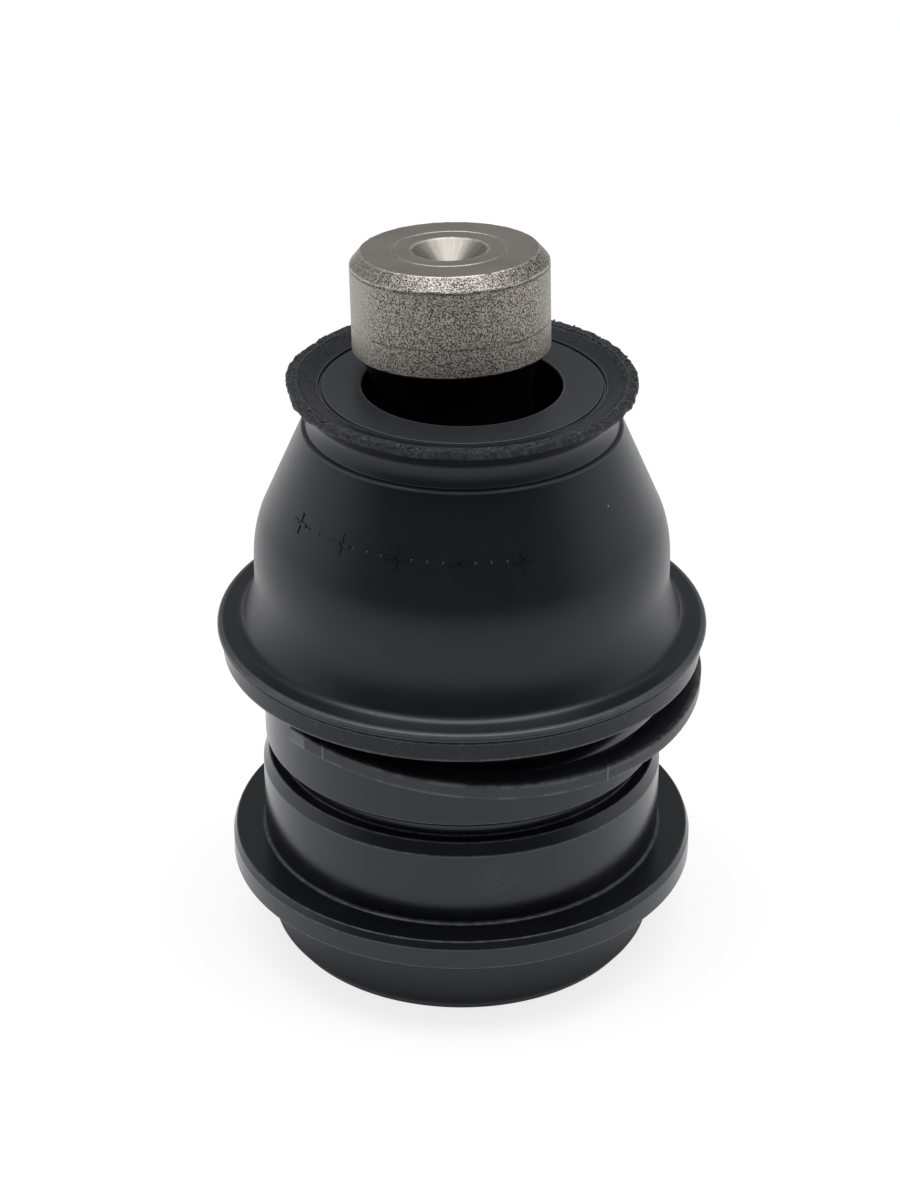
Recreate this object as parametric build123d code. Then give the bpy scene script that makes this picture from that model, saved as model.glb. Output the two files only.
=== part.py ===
from build123d import *
import math
import os

# A press-in ball joint for a suspension arm, in millimetres, standing on its base.
# The housing's axis is Z, the origin is the centre of the underside, and -Y is the photographed side.

# Ball and its bearing
ball_radius = 12.5
ball_flat_radius = 4.0
bearing_clearance = 0.05
bearing_wall = 2.5
seat_clearance = 0.02
seat_split = 0.4
seat_mouth_angle = 63.18
cup_bottom_thickness = 2.0
cup_hole_radius = 6.0

# Housing's inside: shoulder over the seat, throat, and mouth for the stud's swing
shoulder_start = 4.0
shoulder_slope_height = 3.4
throat_undersize = 0.15
mouth_depth = 9.6
swing_cone = 25.5

# Closing plate under the bearing, and the rim rolled over it
plate_ledge = 1.15
plate_thickness = 2.0
plate_dish_radius = 9.0
plate_dish_depth = 0.6
rim_thickness = 1.3
rim_grip = 2.0

# Disc spring between plate and cup
spring_thickness = 0.9
spring_cone = 0.777
spring_edge_clearance = 1.45
spring_bore_clearance = 1.0

# Housing's outside: base, press-stop flange and press land
housing_wall = 4.95
base_step = 0.1
base_taper = 0.6
base_edge_inset = 0.9
base_edge_height = 1.2
base_edge_round = 1.0
flange_bottom = 7.9
flange_thickness = 3.2
flange_width = 3.3
flange_top_chamfer = 0.7
flange_bottom_chamfer = 0.3
land_length = 7.7
land_foot_fillet = 1.0
lead_in_height = 1.3
lead_in_depth = 0.55

# Neck above the land, and the groove for the snap ring
neck_relief = 0.3
neck_top_chamfer = 0.7
groove_clearance = 0.2
groove_depth = 1.4
groove_chamfer = 0.45

# Ball stud
shank_radius = 9.5
waist_depth = 2.0
waist_length = 12.0
shank_taper_length = 5.0
shank_length = 7.4
pinch_groove_width = 9.6
pinch_groove_depth = 1.9
head_length = 9.5
head_chamfer_width = 1.0
head_chamfer_height = 1.2
head_underside_chamfer = 0.8
dimple_radius = 3.8
dimple_depth = 3.0
turned_ring_gap = 1.6
turned_ring_depth = 0.12
turned_ring_width = 0.25

# How the stud stands in the photograph, in degrees from upright
lean_back = 3.9
lean_left = 1.33

# Ring in the boot's foot, pressed on the neck
base_ring_overhang = 0.3
base_ring_thickness = 2.1
base_ring_sleeve_wall = 1.0
base_ring_sleeve_height = 2.75
base_ring_edge = 0.3

# Rubber boot, from its foot up to its shoulder
boot_wall = 1.9
foot_overlap = 0.5
foot_thickness = 1.05
foot_undercut = 0.5
foot_undercut_height = 0.45
foot_fillet = 1.2
foot_flare_radius = 8.6
foot_flare_angle = 30.0
boot_waist_step = 0.6
boot_waist_rise = 6.8
shoulder_draw_in = 0.8
shoulder_rise = 4.4

# Rubber boot's lip, outwards from the stud and down from its face
lip_seat_offset = 2.0
boot_hole_clearance = 0.05
lip_skin = 0.95
lip_wall = 1.38
lip_flare = 2.0
lip_width = 2.1
lip_rise = 0.8
lip_thickness = 0.7
lip_root_rise = 0.25
collar_neck_drop = 2.3
collar_drop = 4.0
collar_swell = 0.7
collar_step = 0.45
parting_line_inset = 1.1
parting_line_width = 0.25
stud_lip_clearance = 0.45

# Stiffening ring inside the boot's lip
lip_ring_inset = 1.35
lip_ring_width = 2.3
lip_ring_thickness = 1.1
lip_ring_clearance = 0.12
lower_lip_inset = 0.3

# Snap ring, parked on the neck: bowed like a leaf spring, its open side tilted up
snap_ring_width = 2.8
snap_ring_thickness = 1.5
snap_ring_slack = 0.7
snap_ring_clearance = 0.08
snap_ring_bow = 2.09
snap_ring_half_gap = 24.0
snap_ring_drop = 4.05
snap_ring_tilt = 2.1
snap_ring_turn = 19.0

# Grease round the stud's waist
grease_throat_gap = 1.2
grease_height = 7.0
grease_clearance = 0.2

# Worked out from the sizes above: radii
bearing_radius = ball_radius + bearing_clearance
bore_radius = bearing_radius + bearing_wall
seat_lip_radius = bearing_radius * math.sin(math.radians(seat_mouth_angle))
throat_radius = bearing_radius - throat_undersize
mouth_radius = throat_radius + mouth_depth * math.tan(math.radians(swing_cone))
plate_radius = bore_radius + plate_ledge
rim_hole_radius = plate_radius - rim_grip
land_radius = bore_radius + housing_wall
flange_radius = land_radius + flange_width
base_top_radius = land_radius - base_step
base_edge_radius = base_top_radius - base_taper
base_foot_radius = base_edge_radius - base_edge_inset
neck_radius = land_radius - neck_relief
waist_radius = shank_radius - waist_depth
pinch_groove_radius = shank_radius - pinch_groove_depth
turned_ring_radius = dimple_radius + turned_ring_gap
sleeve_radius = neck_radius + seat_clearance + base_ring_sleeve_wall
base_ring_radius = flange_radius + base_ring_overhang
foot_rim_radius = base_ring_radius + foot_overlap
boot_waist_radius = neck_radius + boot_waist_step
flare_low_radius = boot_waist_radius + foot_flare_radius * (1 - math.cos(math.radians(foot_flare_angle)))
foot_flat_radius = flare_low_radius + foot_fillet * math.cos(math.radians(foot_flare_angle))
shoulder_radius = boot_waist_radius - shoulder_draw_in
boot_hole_radius = shank_radius + boot_hole_clearance
lip_ring_inner_radius = boot_hole_radius + lip_ring_inset
lip_ring_outer_radius = lip_ring_inner_radius + lip_ring_width
lower_lip_radius = lip_ring_inner_radius + lower_lip_inset
collar_neck_radius = lip_ring_outer_radius + lip_ring_clearance + lip_wall
collar_radius = collar_neck_radius + collar_swell
lip_radius = collar_neck_radius + lip_flare
lip_root_radius = lip_radius - lip_width
parting_line_radius = lip_root_radius - parting_line_inset

# Worked out: heights on the housing, from the ground up
plate_bottom = rim_thickness
plate_top = plate_bottom + plate_thickness
cup_bottom = plate_top + spring_thickness + spring_cone
pivot_height = cup_bottom + cup_bottom_thickness + math.sqrt(bearing_radius**2 - cup_hole_radius**2)
seat_bore_top = pivot_height + shoulder_start
throat_height = seat_bore_top + shoulder_slope_height
neck_top = throat_height + mouth_depth
flange_top = flange_bottom + flange_thickness
land_top = flange_top + land_length
groove_bottom = land_top + lead_in_height
groove_top = groove_bottom + snap_ring_thickness + groove_clearance

# Worked out: places along the stud, from the ball's centre
waist_start = math.sqrt(ball_radius**2 - waist_radius**2)
waist_end = waist_start + waist_length
shank_start = waist_end + shank_taper_length
groove_low = shank_start + shank_length
pinch_groove_middle = groove_low + pinch_groove_width / 2
head_bottom = groove_low + pinch_groove_width
stud_length = head_bottom + head_length

# Worked out: heights on the rings and the boot
boot_sleeve_top = neck_top - neck_top_chamfer
base_ring_bottom = boot_sleeve_top - base_ring_sleeve_height
foot_bottom = base_ring_bottom + base_ring_thickness
foot_top = foot_bottom + foot_thickness
flare_low_height = foot_top + foot_fillet * (1 - math.sin(math.radians(foot_flare_angle)))
flare_top_height = flare_low_height + foot_flare_radius * math.sin(math.radians(foot_flare_angle))
boot_waist_height = foot_top + boot_waist_rise
shoulder_height = boot_waist_height + shoulder_rise
boot_face_height = pivot_height + pinch_groove_middle + lip_seat_offset
lip_height = boot_face_height + lip_rise
collar_height = boot_face_height - collar_drop
collar_neck_height = boot_face_height - collar_neck_drop
lip_ring_top = boot_face_height - lip_skin - lip_ring_clearance
lip_ring_bottom = lip_ring_top - lip_ring_thickness
snap_ring_height = base_ring_bottom - snap_ring_drop
snap_ring_inner_radius = neck_radius + snap_ring_slack
snap_ring_radius = snap_ring_inner_radius + snap_ring_width

stud_place = Pos(0, 0, pivot_height) * Rot(X=-lean_back) * Rot(Y=-lean_left)


def half_section(points, rounds=()):
    """A closed outline of radius and height, with each corner named in rounds given its radius."""
    face = make_face(Polyline(*points, close=True))
    for corner, radius in rounds:
        vertex = face.vertices().sort_by_distance(Vector(*corner))[0]
        face = fillet([vertex], radius)
    return face


def turned(face):
    """The solid that an outline of radius and height sweeps round the Z axis."""
    return revolve(Plane.XZ * face, Axis.Z)


def housing():
    """Forging with base, stop flange, press land, ring groove and neck, bored for the bearing from below."""
    foot = (land_radius, flange_top)
    edge = (base_edge_radius, base_edge_height)
    outline = [
        (rim_hole_radius, 0),
        (base_foot_radius, 0),
        edge,
        (base_top_radius, flange_bottom),
        (flange_radius - flange_bottom_chamfer, flange_bottom),
        (flange_radius, flange_bottom + flange_bottom_chamfer),
        (flange_radius, flange_top - flange_top_chamfer),
        (flange_radius - flange_top_chamfer, flange_top),
        foot,
        (land_radius, land_top),
        (land_radius - lead_in_depth, groove_bottom),
        (neck_radius - groove_depth, groove_bottom),
        (neck_radius - groove_depth, groove_top),
        (neck_radius - groove_chamfer, groove_top),
        (neck_radius, groove_top + groove_chamfer),
        (neck_radius, neck_top - neck_top_chamfer),
        (neck_radius - neck_top_chamfer, neck_top),
        (mouth_radius, neck_top),
        (throat_radius, throat_height),
        (bore_radius, seat_bore_top),
        (bore_radius, plate_top),
        (plate_radius + seat_clearance, plate_top),
        (plate_radius + seat_clearance, plate_bottom),
        (rim_hole_radius, plate_bottom),
    ]
    return turned(half_section(outline, [(foot, land_foot_fillet), (edge, base_edge_round)]))


def closing_plate():
    """Disc trapped under the bearing, its middle dished up so that nothing proud touches the ground."""
    dish = plate_dish_radius
    outline = [
        (0, plate_bottom + plate_dish_depth),
        (dish - plate_dish_depth, plate_bottom + plate_dish_depth),
        (dish, plate_bottom),
        (plate_radius, plate_bottom),
        (plate_radius, plate_top),
        (0, plate_top),
    ]
    return turned(half_section(outline))


def preload_spring():
    """Coned washer: its outer edge stands on the plate and its inner edge carries the cup."""
    outer = bore_radius - spring_edge_clearance
    inner = cup_hole_radius + spring_bore_clearance
    outline = [
        (outer, plate_top),
        (outer, cup_bottom - spring_cone),
        (inner, cup_bottom),
        (inner, plate_top + spring_cone),
    ]
    return turned(half_section(outline))


def lower_bearing_cup():
    """Plastic cup that holds the lower half of the ball, open in the middle for grease."""
    outline = [
        (cup_hole_radius, cup_bottom),
        (bore_radius - seat_clearance, cup_bottom),
        (bore_radius - seat_clearance, pivot_height - seat_split),
        (cup_hole_radius, pivot_height - seat_split),
    ]
    return turned(half_section(outline)) - Pos(0, 0, pivot_height) * Sphere(bearing_radius)


def upper_bearing_seat():
    """Plastic seat between the ball and the housing's shoulder, open for the stud's swing."""
    lip_height = pivot_height + math.sqrt(bearing_radius**2 - seat_lip_radius**2)
    outline = [
        (seat_lip_radius, pivot_height + seat_split),
        (bore_radius - seat_clearance, pivot_height + seat_split),
        (bore_radius - seat_clearance, seat_bore_top),
        (throat_radius, throat_height - seat_clearance),
        (seat_lip_radius, lip_height),
    ]
    return turned(half_section(outline)) - Pos(0, 0, pivot_height) * Sphere(bearing_radius)


def ball_stud():
    """Stud turned in one piece: ball, waist, shank, pinch bolt groove and head with its centre dimple."""
    ball_bottom = -math.sqrt(ball_radius**2 - ball_flat_radius**2)
    ring_in = turned_ring_radius - turned_ring_width / 2
    ring_out = turned_ring_radius + turned_ring_width / 2
    with BuildSketch(Plane.XZ) as section:
        with BuildLine():
            Line((0, ball_bottom), (ball_flat_radius, ball_bottom))
            ThreePointArc((ball_flat_radius, ball_bottom), (ball_radius, 0), (waist_radius, waist_start))
            Polyline(
                (waist_radius, waist_start),
                (waist_radius, waist_end),
                (shank_radius, shank_start),
                (shank_radius, groove_low),
            )
            ThreePointArc(
                (shank_radius, groove_low),
                (pinch_groove_radius, pinch_groove_middle),
                (shank_radius - head_underside_chamfer, head_bottom - head_underside_chamfer),
            )
            Polyline(
                (shank_radius - head_underside_chamfer, head_bottom - head_underside_chamfer),
                (shank_radius, head_bottom),
                (shank_radius, stud_length - head_chamfer_height),
                (shank_radius - head_chamfer_width, stud_length),
                (ring_out, stud_length),
                (turned_ring_radius, stud_length - turned_ring_depth),
                (ring_in, stud_length),
                (dimple_radius, stud_length),
                (0, stud_length - dimple_depth),
                (0, ball_bottom),
            )
        make_face()
    return stud_place * revolve(section.sketch, Axis.Z)


def grease_charge():
    """Collar of grease that clings to the stud's waist above the ball."""
    inner = waist_radius + grease_clearance
    outer = throat_radius - grease_throat_gap
    start = math.sqrt((ball_radius + grease_clearance) ** 2 - inner**2)
    top = waist_start + grease_height
    outline = [
        (inner, start),
        (outer, start),
        (outer, top - (outer - inner) / 2),
        (inner, top),
    ]
    collar = turned(half_section(outline)) - Sphere(ball_radius + grease_clearance)
    return stud_place * collar


def boot_base_ring():
    """Steel ring of L section: a sleeve pressed on the neck and a flange under the boot's foot."""
    inner = neck_radius + seat_clearance
    outline = [
        (inner, base_ring_bottom),
        (base_ring_radius - base_ring_edge, base_ring_bottom),
        (base_ring_radius, base_ring_bottom + base_ring_edge),
        (base_ring_radius, base_ring_bottom + base_ring_thickness - base_ring_edge),
        (base_ring_radius - base_ring_edge, base_ring_bottom + base_ring_thickness),
        (sleeve_radius, base_ring_bottom + base_ring_thickness),
        (sleeve_radius, boot_sleeve_top),
        (inner, boot_sleeve_top),
    ]
    return turned(half_section(outline))


def dust_boot():
    """Rubber boot: foot over the base ring, waist, cone, collar with a step, and a flared lip round the hole."""
    undercut_radius = foot_rim_radius - foot_undercut
    inner_waist = boot_waist_radius - boot_wall
    slope = (shoulder_radius - collar_radius) / (collar_height - shoulder_height)
    lean = math.sqrt(1 + slope**2)
    inner_shoulder = shoulder_radius - boot_wall * lean
    pocket_low = lip_ring_bottom - lip_ring_clearance
    lower_lip_bottom = pocket_low - lip_skin
    inner_top = inner_shoulder - (lower_lip_bottom - shoulder_height) * slope
    pocket_radius = lip_ring_outer_radius + lip_ring_clearance
    line_in = parting_line_radius - parting_line_width / 2
    line_out = parting_line_radius + parting_line_width / 2
    with BuildSketch(Plane.XZ) as section:
        with BuildLine():
            Polyline(
                (sleeve_radius, foot_bottom),
                (undercut_radius, foot_bottom),
                (undercut_radius, foot_bottom + foot_undercut_height),
                (foot_rim_radius, foot_bottom + foot_undercut_height),
                (foot_rim_radius, foot_top),
                (foot_flat_radius, foot_top),
            )
            RadiusArc((foot_flat_radius, foot_top), (flare_low_radius, flare_low_height), foot_fillet)
            RadiusArc((flare_low_radius, flare_low_height), (boot_waist_radius, flare_top_height), foot_flare_radius)
            Spline(
                (boot_waist_radius, flare_top_height),
                (boot_waist_radius, boot_waist_height),
                (shoulder_radius, shoulder_height),
                tangents=[(0, 1), (-slope, 1)],
            )
            Polyline(
                (shoulder_radius, shoulder_height),
                (collar_radius, collar_height),
                (collar_radius - collar_step, collar_height + collar_step / 2),
            )
            Spline(
                (collar_radius - collar_step, collar_height + collar_step / 2),
                (collar_neck_radius, collar_neck_height),
                (lip_radius, lip_height - lip_thickness),
                tangents=[(-1, 2), (1, 1)],
            )
            Polyline(
                (lip_radius, lip_height - lip_thickness),
                (lip_radius, lip_height),
                (lip_root_radius, boot_face_height + lip_root_rise),
                (lip_root_radius - lip_root_rise, boot_face_height),
                (line_out, boot_face_height),
                (parting_line_radius, boot_face_height - parting_line_width / 2),
                (line_in, boot_face_height),
                (boot_hole_radius, boot_face_height),
                (boot_hole_radius, boot_face_height - lip_skin),
                (pocket_radius, boot_face_height - lip_skin),
                (pocket_radius, pocket_low),
                (lower_lip_radius, pocket_low),
                (lower_lip_radius, lower_lip_bottom),
                (inner_top, lower_lip_bottom),
                (inner_shoulder, shoulder_height),
                (inner_waist, boot_waist_height),
                (inner_waist, neck_top + seat_clearance),
                (neck_radius + seat_clearance, neck_top + seat_clearance),
                (neck_radius + seat_clearance, boot_sleeve_top),
                (sleeve_radius, boot_sleeve_top),
                (sleeve_radius, foot_bottom),
            )
        make_face()
    moulding = revolve(section.sketch, Axis.Z)
    pressed_aside = Cylinder(pinch_groove_radius + stud_lip_clearance, stud_length)
    return moulding - stud_place * Pos(0, 0, stud_length / 2 + shank_start) * pressed_aside


def boot_lip_ring():
    """Flat ring that keeps the boot's lip round, in the slot between the lip's two skins."""
    outline = [
        (lip_ring_inner_radius, lip_ring_bottom),
        (lip_ring_outer_radius, lip_ring_bottom),
        (lip_ring_outer_radius, lip_ring_top),
        (lip_ring_inner_radius, lip_ring_top),
    ]
    return turned(half_section(outline))


def snap_ring():
    """Flat split ring rolled to a bow, which stands against the neck with its two ends."""
    half = snap_ring_thickness / 2
    bend_radius = snap_ring_radius**2 / (2 * snap_ring_bow)
    tall = 4 * (snap_ring_bow + snap_ring_thickness)
    wide = 3 * snap_ring_radius
    blank = Cylinder(snap_ring_radius, tall) - Cylinder(snap_ring_inner_radius, tall)
    bent_sheet = Cylinder(bend_radius + half, wide) - Cylinder(bend_radius - half, wide)
    middle_radius = snap_ring_inner_radius + snap_ring_width / 2
    chord = 2 * middle_radius * math.sin(math.radians(snap_ring_half_gap))
    gap = Box(wide, chord, tall, align=(Align.MAX, Align.CENTER, Align.CENTER))
    bowed = blank & Pos(0, 0, bend_radius) * Rot(X=90) * bent_sheet
    aside = snap_ring_slack - snap_ring_clearance
    return Pos(0, 0, snap_ring_height) * Rot(Z=snap_ring_turn) * Pos(aside, 0, 0) * Rot(Y=snap_ring_tilt) * (bowed - gap)


sub_parts = [
    housing,
    closing_plate,
    preload_spring,
    lower_bearing_cup,
    upper_bearing_seat,
    ball_stud,
    grease_charge,
    boot_base_ring,
    dust_boot,
    boot_lip_ring,
    snap_ring,
]

os.makedirs("parts", exist_ok=True)
for make in sub_parts:
    export_step(make(), "parts/" + make.__name__ + ".step")
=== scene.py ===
import math

import bmesh
import bpy
import numpy as np
from mathutils import Matrix, Vector, noise


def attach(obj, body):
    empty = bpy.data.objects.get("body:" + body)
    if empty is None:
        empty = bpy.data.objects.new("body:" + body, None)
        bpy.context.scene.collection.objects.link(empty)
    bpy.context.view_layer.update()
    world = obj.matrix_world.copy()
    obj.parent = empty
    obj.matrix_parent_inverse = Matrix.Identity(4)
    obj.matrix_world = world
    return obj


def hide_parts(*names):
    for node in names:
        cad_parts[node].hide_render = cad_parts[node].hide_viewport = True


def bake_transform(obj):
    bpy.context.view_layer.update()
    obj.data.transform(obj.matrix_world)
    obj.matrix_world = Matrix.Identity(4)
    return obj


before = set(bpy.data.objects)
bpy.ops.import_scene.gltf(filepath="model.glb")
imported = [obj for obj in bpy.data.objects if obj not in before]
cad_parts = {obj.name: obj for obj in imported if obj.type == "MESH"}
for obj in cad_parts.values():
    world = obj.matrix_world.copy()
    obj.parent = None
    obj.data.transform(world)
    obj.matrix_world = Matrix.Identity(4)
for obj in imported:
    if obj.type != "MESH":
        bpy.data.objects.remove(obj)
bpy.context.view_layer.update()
scene = bpy.context.scene
scene.view_settings.view_transform = "Standard"


# STUDIO
# A white table with a soft light over it. The room is pale behind and at the sides and dim behind the camera,
# which is what the black parts reflect. The camera looks down on the joint at about 28 degrees.


class Wire:
    """A socket of a node tree. Sums written on it add Math nodes to the tree."""

    def __init__(self, finish, socket):
        self.finish = finish
        self.socket = socket

    def sum(self, operation, *values):
        return self.finish.node("ShaderNodeMath", {"operation": operation}, dict(enumerate(values)))

    def __add__(self, other):
        return self.sum("ADD", self, other)

    def __radd__(self, other):
        return self.sum("ADD", other, self)

    def __sub__(self, other):
        return self.sum("SUBTRACT", self, other)

    def __rsub__(self, other):
        return self.sum("SUBTRACT", other, self)

    def __mul__(self, other):
        return self.sum("MULTIPLY", self, other)

    def __rmul__(self, other):
        return self.sum("MULTIPLY", other, self)

    def __truediv__(self, other):
        return self.sum("DIVIDE", self, other)

    def __rtruediv__(self, other):
        return self.sum("DIVIDE", other, self)

    def __pow__(self, other):
        return self.sum("POWER", self, other)

    def __abs__(self):
        return self.sum("ABSOLUTE", self)

    def __neg__(self):
        return self.sum("MULTIPLY", self, -1.0)


class Finish:
    """A node tree being written: a material's, or the room's."""

    def __init__(self, owner):
        self.owner = owner
        owner.use_nodes = True
        self.tree = owner.node_tree
        self.tree.nodes.clear()

    def node(self, kind, settings=None, sockets=None, out=0):
        made = self.tree.nodes.new(kind)
        for key, value in (settings or {}).items():
            setattr(made, key, value)
        for key, value in (sockets or {}).items():
            if isinstance(value, Wire):
                self.tree.links.new(value.socket, made.inputs[key])
            else:
                made.inputs[key].default_value = value
        return Wire(self, made.outputs[out])

    def end(self, shader, kind="ShaderNodeOutputMaterial"):
        last = self.tree.nodes.new(kind)
        self.tree.links.new(shader.socket, last.inputs["Surface"])

    def step(self, value, low, high):
        """0 below low, 1 above high, and smooth between; the other way round where low is the larger."""
        sockets = {"Value": value, "From Min": low, "From Max": high}
        return self.node("ShaderNodeMapRange", {"interpolation_type": "SMOOTHSTEP"}, sockets)

    def larger(self, one, other):
        return self.node("ShaderNodeMath", {"operation": "MAXIMUM"}, {0: one, 1: other})

    def colour(self, share, low, high):
        """The colour low where share is 0 and high where it is 1."""
        sockets = {0: share, 6: low, 7: high}
        return self.node("ShaderNodeMix", {"data_type": "RGBA"}, sockets, out=2)

    def background_seen(self, mirrored=1.0):
        """1 for the rays that should meet the white background: the camera's, and those off metal or through glass."""
        names = ("Is Camera Ray", "Is Glossy Ray", "Is Transmission Ray")
        camera_ray, glossy_ray, through_glass = [self.node("ShaderNodeLightPath", out=name) for name in names]
        return self.larger(self.larger(camera_ray, glossy_ray * mirrored), through_glass)


room = Finish(bpy.data.worlds.new("studio_room"))
scene.world = room.owner
toward = room.node("ShaderNodeTexCoord", out="Generated")
right, back, up = [room.node("ShaderNodeSeparateXYZ", sockets={0: toward}, out=axis) for axis in "XYZ"]
overhead = room.step(up, 0.5, 0.85)
beside = room.step(abs(right), 0.68, 0.98)
in_front = room.step(-back, 0.05, 0.55)
paleness = (0.28 + 0.62 * beside) * (1 - overhead) + overhead * 0.62
higher = room.step(up, 0.22, 0.5)
paleness = paleness * (1 - (0.6 + 0.2 * higher) * in_front * (1 - overhead))
is_camera = room.node("ShaderNodeLightPath", out="Is Camera Ray")
light = room.node("ShaderNodeBackground", sockets={"Color": (1.0, 1.0, 1.0, 1.0), "Strength": paleness})
white = room.node("ShaderNodeBackground", sockets={"Color": (1.0, 1.0, 1.0, 1.0), "Strength": 1.0})
shown = room.node("ShaderNodeMixShader", sockets={0: is_camera, 1: light, 2: white})
room.end(shown, "ShaderNodeOutputWorld")

table_top = Finish(bpy.data.materials.new("white_table"))
board = table_top.node("ShaderNodeBsdfDiffuse", sockets={"Color": (0.82, 0.82, 0.82, 1.0)})
glow = table_top.node("ShaderNodeEmission", sockets={"Color": (1.0, 1.0, 1.0, 1.0), "Strength": 1.12})
on_table = table_top.node("ShaderNodeTexCoord", out="Object")
away = table_top.node("ShaderNodeVectorMath", {"operation": "LENGTH"}, {0: on_table}, out="Value")
# The glow that reflections see is painted down near the joint, a painted contact shadow, and toward the camera, painted
# shade.
out_of_shade = 0.15 + 0.85 * table_top.step(away, 0.019, 0.034)
toward_camera = table_top.node("ShaderNodeSeparateXYZ", sockets={0: on_table}, out="Y")
out_of_shade = out_of_shade * (1 - 0.8 * table_top.step(toward_camera, -0.1, -0.32))
# For every ray the glow is also weaker within about 0.15 to 0.6 m of the joint: a broad painted shade round it.
seen = table_top.background_seen(out_of_shade) * (0.72 + 0.14 * table_top.step(away, 0.15, 0.6))
top = table_top.node("ShaderNodeMixShader", sockets={0: seen, 1: board, 2: glow})
table_top.end(top)

floor_half = 12.0
floor_height = -0.0001
floor_mesh = bpy.data.meshes.new("floor")
corners = [(-floor_half, -floor_half), (floor_half, -floor_half), (floor_half, floor_half), (-floor_half, floor_half)]
floor_mesh.from_pydata([(x, y, floor_height) for x, y in corners], [], [(0, 1, 2, 3)])
floor = bpy.data.objects.new("floor", floor_mesh)
floor_mesh.materials.append(table_top.owner)
scene.collection.objects.link(floor)

softbox = bpy.data.objects.new("softbox", bpy.data.lights.new("softbox", "AREA"))
softbox.data.shape = "RECTANGLE"
softbox.data.size = 0.7
softbox.data.size_y = 0.34
softbox.data.energy = 3.2
softbox.location = (0.0, -0.04, 0.62)
scene.collection.objects.link(softbox)

camera = bpy.data.objects.new("camera", bpy.data.cameras.new("camera"))
camera.location = (0.0, -0.25146, 0.17179)
camera.rotation_euler = (math.radians(61.605), 0.0, math.radians(0.265))
camera.data.sensor_width = 36.0
camera.data.lens = 87.02
camera.data.clip_start = 0.01
camera.data.clip_end = 100.0
scene.collection.objects.link(camera)
scene.camera = camera


# HOUSING
# One steel forging, turned outside for the press land, the stop flange and the snap ring's groove, and bored from
# below. It has a black satin dip coat, which shows fine turning marks, worn edges, dust and a smudge on the land.

steps_round = 360
arc_step = math.radians(18)
small_rounding = 0.5
sharp_over = math.radians(35)


def rounded(corners, closed=True):
    """The points of a profile whose corners are radius, height and rounding in mm, and a 1 for each point on a small
    rounding.
    """
    points = []
    turns = []
    for i, (radius, height, rounding) in enumerate(corners):
        here = np.array((radius, height), float)
        if rounding <= 0 or (not closed and i in (0, len(corners) - 1)):
            points.append(here)
            turns.append(0.0)
            continue
        before = np.array(corners[i - 1][:2], float) - here
        after = np.array(corners[(i + 1) % len(corners)][:2], float) - here
        lengths = np.linalg.norm(before), np.linalg.norm(after)
        before, after = before / lengths[0], after / lengths[1]
        half = math.acos(float(np.clip(before @ after, -1, 1))) / 2
        reach = rounding / math.tan(half)
        across = before + after
        middle = here + across / np.linalg.norm(across) * rounding / math.sin(half)
        first, last = here + before * reach - middle, here + after * reach - middle
        start = math.atan2(first[1], first[0])
        sweep = (math.atan2(last[1], last[0]) - start + math.pi) % (2 * math.pi) - math.pi
        pieces = max(2, math.ceil(abs(sweep) / arc_step))
        support = 0.5 * rounding + 0.02
        points.append(here + before * min(reach + support, 0.5 * (reach + lengths[0])))
        turns.append(0.0)
        for k in range(pieces + 1):
            angle = start + sweep * k / pieces
            points.append(middle + rounding * np.array((math.cos(angle), math.sin(angle))))
            turns.append(1.0 if rounding < small_rounding else 0.0)
        points.append(here + after * min(reach + support, 0.5 * (reach + lengths[1])))
        turns.append(0.0)
    return points, turns


def turned_mesh(name, points, turns, closed=True, steps=steps_round, shape=None, masks=None):
    """A mesh swept round Z from points in mm. shape may move it: it takes and returns radius, angle and height."""
    radius = np.array([p[0] for p in points])
    height = np.array([p[1] for p in points])
    angle = np.arange(steps) * 2 * math.pi / steps
    grid_r, grid_a = np.meshgrid(radius, angle, indexing="ij")
    grid_z = np.repeat(height[:, None], steps, axis=1)
    if shape:
        grid_r, grid_a, grid_z = shape(grid_r, grid_a, grid_z)
    place = np.stack([grid_r * np.cos(grid_a), grid_r * np.sin(grid_a), grid_z], axis=-1) * 0.001
    rows = []
    vertices = []
    owners = []
    for i, r in enumerate(radius):
        if r < 1e-6:
            rows.append([len(vertices)] * steps)
            vertices.append(place[i, 0])
            owners.append(i)
        else:
            rows.append(list(range(len(vertices), len(vertices) + steps)))
            vertices.extend(place[i])
            owners.extend([i] * steps)
    faces = []
    for i in range(len(points) if closed else len(points) - 1):
        low, high = rows[i], rows[(i + 1) % len(points)]
        for j in range(steps):
            k = (j + 1) % steps
            corner = [low[j], low[k], high[k], high[j]]
            faces.append(list(dict.fromkeys(corner)))
    mesh = bpy.data.meshes.new(name)
    mesh.from_pydata([tuple(v) for v in vertices], [], faces)
    sheet = bmesh.new()
    sheet.from_mesh(mesh)
    bmesh.ops.recalc_face_normals(sheet, faces=sheet.faces)
    sheet.to_mesh(mesh)
    sheet.free()
    for key, values in {"worn_edge": turns, **(masks or {})}.items():
        layer = mesh.attributes.new(key, "FLOAT", "POINT")
        layer.data.foreach_set("value", np.array(values, np.float32)[owners])
    mesh.shade_smooth()
    mesh.set_sharp_from_angle(angle=sharp_over)
    return mesh


def piece(name, mesh, finish):
    """The finished object of a mesh whose place is in its vertices."""
    made = bpy.data.objects.new(name, mesh)
    mesh.materials.clear()
    mesh.materials.append(finish)
    scene.collection.objects.link(made)
    return made


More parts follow.
